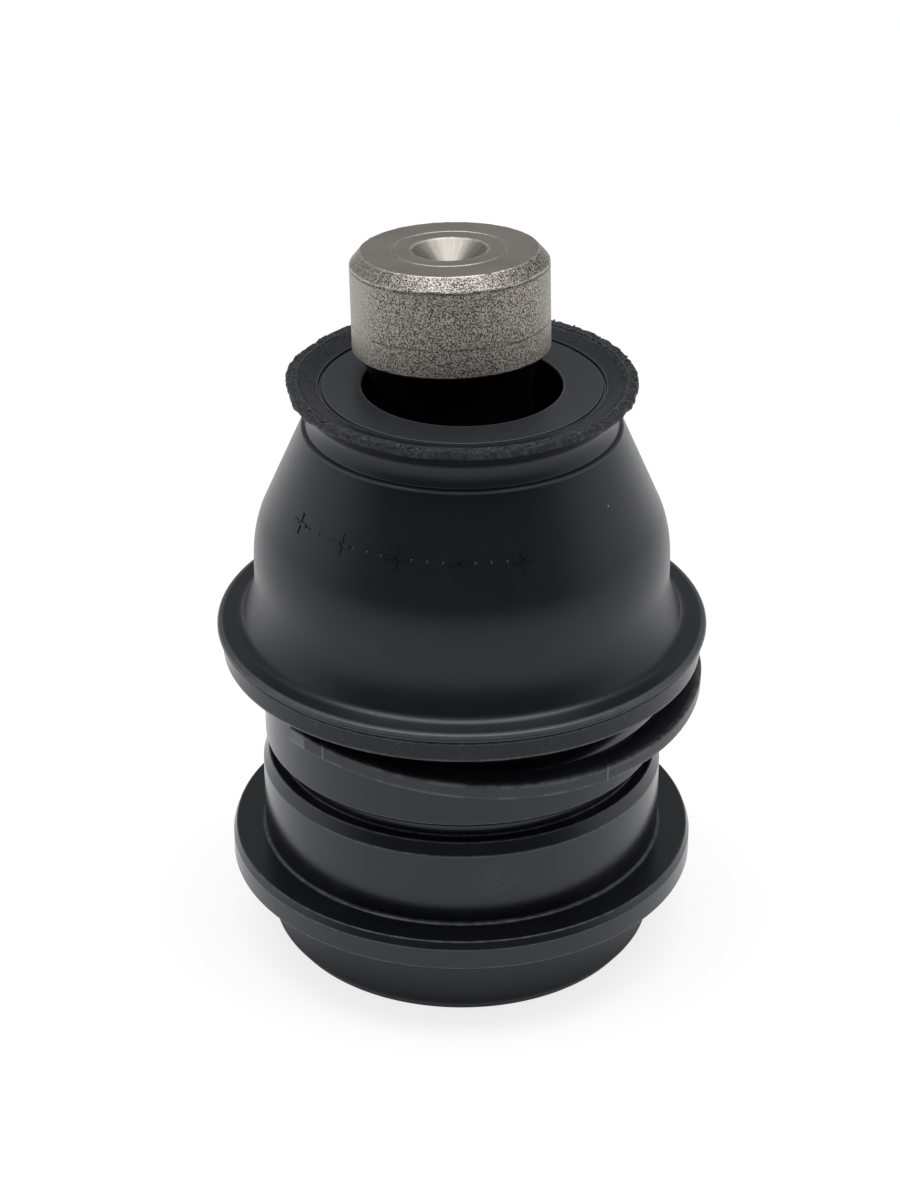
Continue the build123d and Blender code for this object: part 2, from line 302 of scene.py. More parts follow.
class Surface(Finish):
    """A material of one piece, with the patterns that several finishes share. Lengths are in mm."""

    def __init__(self, name, place=None):
        super().__init__(bpy.data.materials.new(name))
        if place:
            at = self.node("ShaderNodeAttribute", {"attribute_name": place}, out="Vector")
        else:
            at = self.node("ShaderNodeTexCoord", out="Object")
        self.at = self.node("ShaderNodeVectorMath", {"operation": "SCALE"}, {0: at, "Scale": 1000.0})
        split = [self.node("ShaderNodeSeparateXYZ", sockets={0: self.at}, out=axis) for axis in "XYZ"]
        self.x, self.y, self.z = split
        self.radius = (self.x * self.x + self.y * self.y) ** 0.5

    def vector(self, x, y, z):
        return self.node("ShaderNodeCombineXYZ", sockets={0: x, 1: y, 2: z})

    def cloud(self, size, detail=2.0, roughness=0.5, at=None, distortion=0.0):
        """Soft noise about 0.5, its lumps about size mm across."""
        sockets = {"Vector": at or self.at, "Scale": 1.0 / size, "Detail": detail}
        return self.node("ShaderNodeTexNoise", sockets={**sockets, "Roughness": roughness, "Distortion": distortion})

    def specks(self, spacing, largest, share, seed=0.0):
        """1 on round specks up to largest mm across, in that share of cells spacing mm apart."""
        moved = self.node("ShaderNodeVectorMath", {"operation": "ADD"}, {0: self.at, 1: (seed, 2 * seed, 3 * seed)})
        sockets = {"Vector": moved, "Scale": 1.0 / spacing}
        near = self.node("ShaderNodeTexVoronoi", sockets=sockets, out="Distance")
        chance = self.node("ShaderNodeTexVoronoi", sockets=sockets, out="Color")
        pick = self.node("ShaderNodeSeparateColor", sockets={0: chance}, out=0)
        size = self.node("ShaderNodeSeparateColor", sockets={0: chance}, out=1)
        reach = (0.3 + 0.7 * size) * (0.5 * largest / spacing)
        return self.step(near / reach, 1.0, 0.7) * self.step(pick, 1 - share, 1 - share + 0.01)

    def mask(self, name):
        return self.node("ShaderNodeAttribute", {"attribute_name": name}, out="Fac")

    def bump(self, height, depth, under=None):
        """The normal of a surface that rises by depth mm where height is 1."""
        sockets = {"Height": height, "Distance": depth * 0.001, "Strength": 1.0}
        if under:
            sockets["Normal"] = under
        return self.node("ShaderNodeBump", sockets=sockets)

    def close(self, **sockets):
        """Ends the material in a principled shader. An underscore in a socket's name stands for a space."""
        values = {key.replace("_", " "): value for key, value in sockets.items()}
        self.end(self.node("ShaderNodeBsdfPrincipled", sockets=values))
        return self.owner


cool_tint = (0.87, 0.9, 1.0, 1.0)


def black_coat(name, smudge_at=None, gloss=0.5, scuffs=0.0):
    """Black dip coat over turned steel."""
    coat = Surface(name)
    ring_wise = coat.vector(coat.radius * 3.0, coat.x * 0.02, coat.z * 3.0)
    lathe_marks = coat.cloud(1.0, 4.0, 0.65, at=ring_wise)
    drift = coat.cloud(9.0, 3.0)
    grain = coat.cloud(0.16, 3.0, 0.6)
    dust = coat.specks(2.3, 0.17, 0.16, 3.7)
    fine_dust = coat.specks(0.9, 0.07, 0.14, 11.3)
    edge = coat.mask("worn_edge") * (0.45 + 0.55 * coat.step(coat.cloud(1.4, 4.0, 0.7), 0.4, 0.6))
    film = coat.step(coat.cloud(5.0, 5.0, 0.7, distortion=0.6), 0.5, 0.78)
    if smudge_at:
        sockets = {0: coat.at, 1: smudge_at}
        offset = coat.node("ShaderNodeVectorMath", {"operation": "DISTANCE"}, sockets, out="Value")
        blotch = coat.step(coat.cloud(0.8, 4.0, 0.7, distortion=1.2), 0.4, 0.6)
        smudge = coat.step(offset, 2.8, 0.6) * blotch
    else:
        smudge = coat.step(coat.cloud(7.0, 3.0), 0.7, 0.9)
    tone = coat.colour(film, (0.0062, 0.0065, 0.0096, 1.0), (0.0105, 0.0108, 0.0138, 1.0))
    tone = coat.colour(smudge * 0.7, tone, (0.045, 0.045, 0.048, 1.0))
    tone = coat.colour(edge * 0.8, tone, (0.085, 0.086, 0.095, 1.0))
    rubbed = coat.step(coat.cloud(0.7, 5.0, 0.75, distortion=0.5), 0.56, 0.7) * scuffs
    tone = coat.colour(rubbed, tone, (0.07, 0.068, 0.066, 1.0))
    tone = coat.colour(coat.larger(dust, fine_dust * 0.5), tone, (0.34, 0.34, 0.33, 1.0))
    dull_foot = coat.step(coat.z, 6.5, 0.0)
    roughness = 0.15 + 0.06 * drift + 0.05 * film + 0.2 * smudge
    roughness = roughness + 0.3 * dust + 0.06 * lathe_marks + 0.15 * dull_foot
    normal = coat.bump(lathe_marks, 0.0035)
    normal = coat.bump(grain, 0.0022, normal)
    sheen = {"Specular_IOR_Level": gloss, "Specular_Tint": cool_tint}
    return coat.close(Base_Color=tone, Roughness=roughness, Normal=normal, **sheen)


housing_corners = [
    (14.2, 0.0, 0.3),
    (18.4, 0.0, 0.12),
    (19.3, 1.2, 1.0),
    (19.9, 7.9, 0.18),
    (23.0, 7.9, 0.12),
    (23.3, 8.2, 0.12),
    (23.3, 10.3, 0.12),
    (22.98, 11.1, 0.12),
    (20.0, 11.1, 0.22),
    (20.0, 18.8, 0.2),
    (19.45, 20.1, 0.12),
    (18.3, 20.1, 0.12),
    (18.3, 21.8, 0.12),
    (19.25, 21.8, 0.08),
    (19.7, 22.25, 0.12),
    (19.7, 34.3, 0.15),
    (19.0, 35.0, 0.15),
    (16.98, 35.0, 0.2),
    (12.4, 25.4, 0.15),
    (15.05, 22.0, 0.15),
    (15.05, 3.3, 0.0),
    (16.22, 3.3, 0.0),
    (16.22, 1.3, 0.0),
    (14.2, 1.3, 0.2),
]
housing_points, housing_turns = rounded(housing_corners)
housing_mesh = turned_mesh("housing_forging", housing_points, housing_turns)
housing_forging = piece("housing_forging", housing_mesh, black_coat("housing_coat", (3.4, -19.7, 15.9)))
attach(housing_forging, "housing")
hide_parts("housing")


# CLOSING PLATE
# A pressed steel disc, dished in the middle, that the housing's rim is rolled over. It shows only from below.

plate_finish = Surface("zinc_plate")
ring_wise = plate_finish.vector(plate_finish.radius * 2.5, 0.0, plate_finish.z)
plate_rings = plate_finish.cloud(1.0, 3.0, 0.6, at=ring_wise)
plate_stain = plate_finish.cloud(6.0, 5.0, 0.65)
plate_tone = plate_finish.colour(plate_stain, (0.16, 0.155, 0.145, 1.0), (0.30, 0.295, 0.28, 1.0))
plate_owner = plate_finish.close(
    Base_Color=plate_tone,
    Metallic=1.0,
    Roughness=0.34 + 0.2 * plate_stain,
    Normal=plate_finish.bump(plate_rings, 0.004),
)
plate_corners = [
    (0.0, 1.9, 0.0),
    (8.4, 1.9, 0.3),
    (9.0, 1.3, 0.3),
    (16.2, 1.3, 0.2),
    (16.2, 3.3, 0.2),
    (0.0, 3.3, 0.0),
]
plate_points, plate_turns = rounded(plate_corners, closed=False)
plate_mesh = turned_mesh("closing_disc", plate_points, plate_turns, closed=False, steps=180)
closing_disc = piece("closing_disc", plate_mesh, plate_owner)
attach(closing_disc, "housing")
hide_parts("closing_plate")


# BEARING AND PRELOAD SPRING
# Two moulded acetal seats hold the ball, and a coned spring washer presses the lower one up. All of it is closed in,
# so the solids from the CAD model stay and only get their finish.


def give_finish(node, finish):
    """A CAD node keeps its mesh and gets this material."""
    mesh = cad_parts[node].data
    mesh.materials.clear()
    mesh.materials.append(finish)


acetal = Surface("acetal")
acetal_flow = acetal.cloud(4.0, 3.0, 0.6, distortion=0.8)
acetal_owner = acetal.close(
    Base_Color=acetal.colour(acetal_flow, (0.66, 0.64, 0.58, 1.0), (0.75, 0.73, 0.67, 1.0)),
    Roughness=0.34 + 0.12 * acetal_flow,
    Normal=acetal.bump(acetal.cloud(0.3, 2.0), 0.003),
)
give_finish("upper_bearing_seat", acetal_owner)
give_finish("lower_bearing_cup", acetal_owner)

spring_finish = Surface("spring_washer_steel")
spring_scale = spring_finish.cloud(1.2, 4.0, 0.7)
spring_owner = spring_finish.close(
    Base_Color=spring_finish.colour(spring_scale, (0.06, 0.06, 0.07, 1.0), (0.16, 0.15, 0.15, 1.0)),
    Metallic=1.0,
    Roughness=0.35 + 0.25 * spring_scale,
    Normal=spring_finish.bump(spring_scale, 0.006),
)
give_finish("preload_spring", spring_owner)


# BALL STUD
# Turned from one steel bar: ball, waist, shank, pinch bolt groove and head. The head's side and chamfer are left with
# the grainy skin of the heat treatment, and its top face is faced smooth round a centre drilling and one turned ring.

stud_lean_back = 3.9
stud_lean_left = 1.33
stud_steps = 320


def stud_place():
    """The stud's own frame: the ball's centre, leaned back and then to the left."""
    back_lean = Matrix.Rotation(math.radians(-stud_lean_back), 4, "X")
    left_lean = Matrix.Rotation(math.radians(-stud_lean_left), 4, "Y")
    return Matrix.Translation((0.0, 0.0, 0.018)) @ (back_lean @ left_lean)


def arc_points(start, through, end, pieces):
    """Points along the arc from start through a middle point to end, without its two ends."""
    (ax, ay), (bx, by), (cx, cy) = start, through, end
    d = 2 * (ax * (by - cy) + bx * (cy - ay) + cx * (ay - by))
    a2, b2, c2 = ax * ax + ay * ay, bx * bx + by * by, cx * cx + cy * cy
    middle_x = (a2 * (by - cy) + b2 * (cy - ay) + c2 * (ay - by)) / d
    middle_y = (a2 * (cx - bx) + b2 * (ax - cx) + c2 * (bx - ax)) / d
    middle = np.array((middle_x, middle_y))
    size = np.linalg.norm(np.array(start) - middle)
    angles = [math.atan2(p[1] - middle[1], p[0] - middle[0]) for p in (start, through, end)]
    one = (angles[1] - angles[0] + math.pi) % (2 * math.pi) - math.pi
    two = (angles[2] - angles[1] + math.pi) % (2 * math.pi) - math.pi
    turned = [angles[0] + (one + two) * k / pieces for k in range(1, pieces)]
    return [tuple(middle + size * np.array((math.cos(a), math.sin(a)))) for a in turned]


ball_radius = 12.5
ball_flat = 4.0
ball_low = -math.sqrt(ball_radius**2 - ball_flat**2)
waist_low = 10.0
stud_corners = [(0.0, ball_low, 0.0), (ball_flat, ball_low, 0.0)]
stud_corners += [(r, z, 0.0) for r, z in arc_points((ball_flat, ball_low), (ball_radius, 0.0), (7.5, waist_low), 40)]
stud_corners += [(7.5, waist_low, 0.0), (7.5, 22.0, 1.5), (9.5, 27.0, 0.8), (9.5, 34.4, 0.15)]
stud_corners += [(r, z, 0.0) for r, z in arc_points((9.5, 34.4), (7.6, 39.2), (8.7, 43.2), 24)]
stud_corners += [
    (8.7, 43.2, 0.0),
    (9.5, 44.0, 0.18),
    (9.5, 51.85, 0.0),
    (9.5, 52.3, 0.14),
    (8.5, 53.5, 0.12),
    (5.55, 53.5, 0.03),
    (5.42, 53.38, 0.03),
    (5.28, 53.5, 0.03),
    (3.65, 53.5, 0.22),
    (0.55, 50.9, 0.12),
    (0.0, 50.78, 0.0),
]
stud_points, stud_turns = rounded(stud_corners, closed=False)
stud_masks = {
    "faced": [1.0 if z > 53.44 and r < 8.48 else 0.0 for r, z in stud_points],
    "drilled": [1.0 if 50.0 < z < 53.46 and r < 3.9 else 0.0 for r, z in stud_points],
    "dark_line": [1.0 if 51.9 < z < 52.24 and r > 9.3 else 0.0 for r, z in stud_points],
}


def wander(angle, waves, seed):
    """Smooth noise from -1 to 1 round a circle."""
    flat = angle.ravel()
    values = [noise.noise(Vector((math.cos(a) * waves, math.sin(a) * waves, seed))) for a in flat[: angle.shape[-1]]]
    return np.broadcast_to(np.array(values) * 1.6, angle.shape)


def head_wear(radius, angle, height):
    """The chamfer of the head was left rough: both of its edges wander a little."""
    low_edge = np.clip(1 - abs(height - 52.3) / 0.3, 0, 1) * (radius > 9.3)
    top_edge = np.clip(1 - abs(height - 53.5) / 0.3, 0, 1) * (radius > 8.2)
    height = height + low_edge * (0.09 * wander(angle, 4.0, 8.0) + 0.07 * wander(angle, 19.0, 9.0))
    radius = radius - low_edge * 0.05 * np.clip(wander(angle, 24.0, 10.0), 0, 1)
    radius = radius + top_edge * (0.06 * wander(angle, 14.0, 11.0) - 0.03)
    return radius, angle, height


stud_mesh = turned_mesh(
    "turned_stud",
    stud_points,
    stud_turns,
    closed=False,
    steps=stud_steps,
    shape=head_wear,
    masks=stud_masks,
)
stud_mesh.transform(stud_place())

bare_steel = Surface("bare_steel")
faced = bare_steel.mask("faced")
drill_wall = bare_steel.mask("drilled")
smooth = bare_steel.larger(faced, drill_wall)
grain = bare_steel.cloud(0.15, 1.0, 0.5)
coarse = bare_steel.cloud(0.5, 2.0, 0.5)
cloudy = bare_steel.cloud(5.0, 3.0, 0.5)
pit = bare_steel.specks(2.6, 0.34, 0.14, 5.1)
height_on_stud = 0.0681 * bare_steel.y - 0.0232 * bare_steel.x + 0.9974 * (bare_steel.z - 18.0)
shank = bare_steel.step(height_on_stud, 44.1, 43.7)
skin = bare_steel.step(grain * 0.88 + coarse * 0.12, 0.38, 0.63)
bright_edge = bare_steel.mask("worn_edge") * bare_steel.step(bare_steel.cloud(1.1, 3.0, 0.6), 0.3, 0.55)
shadow_line = bare_steel.mask("dark_line") * bare_steel.step(bare_steel.cloud(0.9, 3.0, 0.6), 0.3, 0.5)
scale_line = height_on_stud - 46.5 - 0.4 * bare_steel.cloud(4.5, 2.0)
scale_mark = bare_steel.step(abs(scale_line), 0.13, 0.04) * bare_steel.step(cloudy, 0.4, 0.55) * (1 - smooth)
dark_marks = bare_steel.larger(shadow_line * 0.8, scale_mark * 0.6)
from_axis = bare_steel.vector(bare_steel.x + 1.21, bare_steel.y - 3.55, 0.0)
spoke = bare_steel.node("ShaderNodeVectorMath", {"operation": "NORMALIZE"}, {0: from_axis})
streaks = bare_steel.cloud(0.09, 3.0, 0.6, at=spoke)
steel_tone = bare_steel.colour(skin, (0.062, 0.054, 0.048, 1.0), (0.52, 0.485, 0.44, 1.0))
steel_tone = bare_steel.colour(cloudy * 0.2, steel_tone, (0.22, 0.205, 0.185, 1.0))
# Below the head, inside the boot, the steel is painted near black: painted shade.
steel_tone = bare_steel.colour(shank * 0.93, steel_tone, (0.012, 0.012, 0.013, 1.0))
# The head's left and right flanks are painted lighter, the left more: a painted sheen.
painted_flank_sheen = bare_steel.step(bare_steel.x, -7.0, -10.0) * 0.6 + bare_steel.step(bare_steel.x, 6.5, 8.3) * 0.3
steel_tone = bare_steel.colour(painted_flank_sheen * (1 - shank), steel_tone, (0.40, 0.375, 0.34, 1.0))
steel_tone = bare_steel.colour(pit * 0.85, steel_tone, (0.025, 0.022, 0.02, 1.0))
steel_tone = bare_steel.colour(dark_marks, steel_tone, (0.035, 0.031, 0.028, 1.0))
face_tone = bare_steel.colour(cloudy, (0.29, 0.272, 0.25, 1.0), (0.37, 0.35, 0.315, 1.0))
steel_tone = bare_steel.colour(faced, steel_tone, face_tone)
drill_tone = bare_steel.colour(streaks, (0.10, 0.093, 0.085, 1.0), (0.44, 0.41, 0.37, 1.0))
steel_tone = bare_steel.colour(drill_wall, steel_tone, drill_tone)
steel_tone = bare_steel.colour(bright_edge * (1 - shadow_line) * 0.7, steel_tone, (0.62, 0.59, 0.55, 1.0))
steel_rough = (0.38 + 0.12 * skin) * (1 - smooth) + (0.42 + 0.1 * cloudy) * smooth
steel_height = (grain * 0.8 + coarse * 0.2) * (1 - smooth * 0.97) * (1 - shank * 0.8) + streaks * drill_wall * 0.35
steel_normal = bare_steel.bump(steel_height, 0.06)
steel_owner = bare_steel.close(Base_Color=steel_tone, Metallic=1.0, Roughness=steel_rough, Normal=steel_normal)
turned_stud = piece("turned_stud", stud_mesh, steel_owner)
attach(turned_stud, "stud")
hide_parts("ball_stud")


# GREASE
# A collar of bearing grease that clings to the stud's waist inside the boot, slim enough to clear the housing's throat
# in either swing by itself.

grease = Surface("bearing_grease")
grease_streak = grease.cloud(1.6, 3.0, 0.6, distortion=1.0)
grease_owner = grease.close(
    Base_Color=grease.colour(grease_streak, (0.22, 0.10, 0.02, 1.0), (0.34, 0.17, 0.04, 1.0)),
    Roughness=0.2 + 0.15 * grease_streak,
    Normal=grease.bump(grease_streak, 0.15),
)


def slump(radius, angle, height):
    """Lets the outside of the grease sag unevenly."""
    outside = np.clip((radius - 7.7) / 0.5, 0, 1)
    radius = radius + outside * 0.1 * wander(angle, 2.5, 15.0)
    return radius, angle, height + outside * 0.35 * wander(angle, 3.0, 16.0)


grease_corners = [(7.56, 13.0, 0.0), (8.05, 13.0, 0.2), (8.4, 13.9, 0.3)]
grease_corners += [(8.4, 15.4, 0.4), (7.95, 16.9, 0.3), (7.56, 17.1, 0.0)]
grease_points, grease_turns = rounded(grease_corners)
grease_mesh = turned_mesh("grease_collar", grease_points, grease_turns, steps=160, shape=slump)
grease_mesh.transform(stud_place())
grease_collar = piece("grease_collar", grease_mesh, grease_owner)
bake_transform(grease_collar)
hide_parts("grease_charge")


# BOOT'S BASE RING
# A pressed steel ring of L section under the boot's foot, with the housing's black coat.

base_ring_corners = [
    (19.72, 31.55, 0.1),
    (23.6, 31.55, 0.25),
    (23.6, 33.65, 0.2),
    (20.72, 33.65, 0.1),
    (20.72, 34.3, 0.1),
    (19.72, 34.3, 0.1),
]
base_ring_points, base_ring_turns = rounded(base_ring_corners)
base_ring_mesh = turned_mesh("pressed_base_ring", base_ring_points, base_ring_turns)
base_ring = piece("pressed_base_ring", base_ring_mesh, black_coat("base_ring_coat", gloss=0.34, scuffs=0.5))
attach(base_ring, "housing")
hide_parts("boot_base_ring")


# DUST BOOT
# One rubber moulding: foot, waist, cone, a step, and a lip left ragged where the mould's flash was torn off. It is two
# shells that meet at the foot of the cone. Its wall is thinned there on the inside, which leaves room for the leaning
# stud.

cone_slope = 0.4409
thin_wall = 0.68
boot_steps = 384


def curve_between(start, leave, end, arrive, pieces):
    """Points of a smooth curve that leaves start and reaches end in those directions, without its two ends."""
    start, leave, end, arrive = (np.array(v, float) for v in (start, leave, end, arrive))
    made = []
    for k in range(1, pieces):
        t = k / pieces
        from_start = (2 * t**3 - 3 * t**2 + 1) * start + (t**3 - 2 * t**2 + t) * leave
        made.append(from_start + (3 * t**2 - 2 * t**3) * end + (t**3 - t**2) * arrive)
    return [tuple(p) for p in made]


waist_curve = curve_between((20.3, 41.5), (-0.11, 4.4), (19.5, 45.9), (-1.7, 4.4), 100)
seam_outside, seam_height = waist_curve[79]
seam_inside = seam_outside - 0.7
lower_corners = [(20.72, 33.66, 0.1), (23.6, 33.66, 0.1), (23.6, 34.1, 0.1), (24.1, 34.1, 0.12), (24.1, 34.7, 0.42)]
lower_corners += [(22.491, 34.7, 0.0)]
lower_corners += [(22.491 - 1.2 * math.sin(t), 35.9 - 1.2 * math.cos(t), 0.0) for t in np.radians(np.arange(8, 60, 8))]
lower_corners += [(28.9 - 8.6 * math.cos(t), 39.6 - 8.6 * math.sin(t), 0.0) for t in np.radians(np.arange(30, -1, -5))]
lower_corners += [(r, z, 0.0) for r, z in curve_between((20.3, 39.6), (0.0, 1.9), (20.3, 41.5), (-0.03, 1.9), 3)]
lower_corners += [(20.3, 41.5, 0.0)]
lower_corners += [(*waist_curve[k], 0.0) for k in (9, 19, 29, 39, 49, 59, 69, 78)]
lower_corners += [(seam_outside, seam_height, 0.0), (seam_inside, seam_height, 0.0)]
lower_corners += [(19.28, 43.8, 0.0), (19.0, 42.6, 0.0), (18.4, 41.0, 0.0)]
lower_corners += [(18.4, 35.02, 0.0), (19.72, 35.02, 0.0), (19.72, 34.32, 0.0), (20.72, 34.32, 0.0)]
boot_lower_points, boot_lower_turns = rounded(lower_corners)

upper_corners = [(seam_outside, seam_height, 0.0)]
upper_corners += [(*waist_curve[80], 0.0), (*waist_curve[89], 0.0), (19.5, 45.9, 0.0)]
upper_corners += [(19.5 - cone_slope * h, 45.9 + h, 0.0) for h in np.arange(0.45, 9.2, 0.45)]
upper_corners += [(15.4, 55.2, 0.3), (14.98, 55.42, 0.06)]
upper_corners += [(r, z, 0.0) for r, z in curve_between((14.92, 55.6), (-0.5, 1.6), (14.7, 57.0), (0.1, 1.6), 6)]
upper_corners += [(14.7, 57.0, 0.0)]
upper_corners += [(r, z, 0.0) for r, z in curve_between((14.7, 57.0), (0.15, 2.4), (16.6, 59.2), (2.4, 1.5), 9)]
upper_corners += [(16.68, 59.3, 0.0), (16.76, 59.5, 0.0), (16.76, 59.72, 0.0), (16.66, 59.92, 0.0), (16.45, 59.98, 0.0)]
upper_corners += [(15.72, 59.93, 0.08), (15.56, 59.72, 0.08)]
upper_corners += [(r, z, 0.0) for r, z in curve_between((15.4, 59.68), (-0.8, -0.2), (14.2, 59.28), (-0.9, -0.25), 7)]
upper_corners += [(14.05, 59.22, 0.0), (13.72, 59.24, 0.05), (13.6, 58.94, 0.03)]
upper_corners += [(13.44, 58.94, 0.03), (13.32, 59.2, 0.05)]
upper_corners += [(r, 59.2, 0.0) for r in (12.6, 12.0, 11.4, 10.8, 10.3)]
upper_corners += [(9.55, 59.2, 0.16), (9.55, 58.25, 0.1)]
upper_corners += [(10.5, 58.25, 0.0), (11.5, 58.25, 0.0), (13.32, 58.25, 0.0), (13.32, 56.91, 0.0)]
upper_corners += [(11.2, 56.91, 0.1), (11.2, 55.96, 0.1), (12.99, 55.96, 0.3), (13.55, 55.1, 0.0), (14.6, 53.9, 0.0)]
for h in np.arange(7.2, -0.1, -0.9):
    wall = max(thin_wall, thin_wall + 0.1 * (h - 3.6))
    upper_corners.append((19.5 - wall - cone_slope * h, 45.9 + h, 0.0))
upper_corners += [(seam_inside, seam_height, 0.0)]
boot_upper_points, boot_upper_turns = rounded(upper_corners)


def boot_mouth(radius, angle, height):
    """Pushes the lip aside where the leaning stud stands, and tears the lip's edge."""
    stud_x = -0.02327 * (height - 18.0)
    stud_y = 0.06817 * (height - 18.0)
    along = stud_x * np.cos(angle) + stud_y * np.sin(angle)
    leaves = along + np.sqrt(np.maximum(8.05**2 - stud_x**2 - stud_y**2 + along**2, 0))
    near_hole = np.clip((13.2 - radius) / (13.2 - 9.55), 0, 1) * (height > 57.5)
    radius = radius + np.maximum(leaves - 9.55, 0) * near_hole**1.3
    flare = np.clip((radius - 14.3) / 2.2, 0, 1) * np.clip((height - 58.0) / 1.2, 0, 1)
    ragged = 0.16 * wander(angle, 3.0, 1.0) + 0.10 * wander(angle, 11.0, 2.0) + 0.07 * wander(angle, 34.0, 3.0)
    lifted = 0.16 * wander(angle, 2.2, 4.0) + 0.08 * wander(angle, 13.0, 5.0) + 0.05 * wander(angle, 40.0, 6.0)
    return radius + flare**2 * ragged - flare**2 * 0.05, angle, height + flare**2 * (lifted - 0.12)


boot_masks = {
    "torn": [min(max((r - 15.3) / 0.3, 0.0), 1.0) if z > 58.6 else 0.0 for r, z in boot_upper_points],
    "pitted": [1.0 if 13.6 < r < 15.7 and z > 59.0 else 0.0 for r, z in boot_upper_points],
    "flat_lip": [1.0 if r < 13.4 and z > 59.0 else 0.0 for r, z in boot_upper_points],
}
boot_upper_mesh = turned_mesh(
    "boot_upper",
    boot_upper_points,
    boot_upper_turns,
    steps=boot_steps,
    shape=boot_mouth,
    masks=boot_masks,
)
boot_lower_mesh = turned_mesh("boot_lower", boot_lower_points, boot_lower_turns, steps=boot_steps)


def keep_rest_place(mesh):
    """Stores where each vertex is at rest, so that the rubber's pattern stays on it when it bends."""
    kept = mesh.attributes.new("rest_place", "FLOAT_VECTOR", "POINT")
    kept.data.foreach_set("vector", np.array([v.co for v in mesh.vertices], np.float32).ravel())


keep_rest_place(boot_upper_mesh)
keep_rest_place(boot_lower_mesh)


def boot_rubber(name):
    """Black moulded rubber: satin, with a grey bloom, mould drag and dust, painted highlights on its small rounded
    edges, a painted sheen on the lip's flat top and painted shade in its pits.
    """
    rubber = Surface(name, place="rest_place")
    torn_here = rubber.mask("torn")
    bloom = rubber.cloud(6.0, 4.0, 0.6, distortion=0.5)
    mottled = rubber.cloud(1.3, 4.0, 0.65)
    grain = rubber.cloud(0.18, 3.0, 0.6)
    crumbs = rubber.cloud(0.45, 4.0, 0.7, distortion=0.8)
    pits = rubber.step(rubber.cloud(0.7, 2.0, 0.5, distortion=2.2), 0.36, 0.3) * torn_here
    spots = rubber.step(rubber.cloud(0.5, 1.0, 0.5, distortion=1.4), 0.33, 0.29) * rubber.mask("pitted")
    hollow = rubber.larger(pits, spots)
    painted_edge_highlight = rubber.mask("worn_edge")
    flat_lip = rubber.mask("flat_lip")
    dust = rubber.specks(2.7, 0.26, 0.13, 7.7)
    fine_dust = rubber.specks(1.1, 0.11, 0.13, 2.9)
    tone = rubber.colour(bloom, (0.007, 0.0074, 0.0103, 1.0), (0.0115, 0.0119, 0.0148, 1.0))
    # The lip's flat top is painted lighter than the rest of the rubber: a painted sheen.
    tone = rubber.colour(flat_lip * (0.6 + 0.4 * mottled), tone, (0.025, 0.026, 0.03, 1.0))
    # The rubber's small rounded edges are painted lighter: a painted highlight.
    tone = rubber.colour(painted_edge_highlight * (0.5 + 0.5 * mottled), tone, (0.075, 0.077, 0.084, 1.0))
    tone = rubber.colour(torn_here * rubber.step(crumbs, 0.42, 0.64), tone, (0.04, 0.041, 0.04, 1.0))
    # The pits and spots are painted near black: painted shade inside them.
    tone = rubber.colour(hollow, tone, (0.001, 0.001, 0.001, 1.0))
    tone = rubber.colour(rubber.larger(dust, fine_dust * 0.4), tone, (0.4, 0.4, 0.39, 1.0))
    roughness = 0.25 + 0.06 * bloom + 0.05 * mottled + 0.2 * torn_here + 0.2 * dust
    normal = rubber.bump(mottled, 0.006)
    normal = rubber.bump(grain, 0.003, normal)
    normal = rubber.bump(crumbs * torn_here - hollow * 0.7, 0.26, normal)
    sheen = {"Specular_IOR_Level": 0.37, "Specular_Tint": cool_tint}
    return rubber.close(Base_Color=tone, Roughness=roughness, Normal=normal, **sheen)


rubber_owner = boot_rubber("boot_rubber")
boot_lower = piece("boot_lower", boot_lower_mesh, rubber_owner)
seam_height * 0.001
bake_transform(boot_lower)
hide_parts("dust_boot")
boot_upper = piece("boot_upper", boot_upper_mesh, rubber_owner)
seam_height * 0.001
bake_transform(boot_upper)
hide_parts("dust_boot")


# BOOT'S TORN FLASH
# Where the mould's flash was torn off the lip it left crumbs of rubber, scattered round the rim. They ride on the lip.


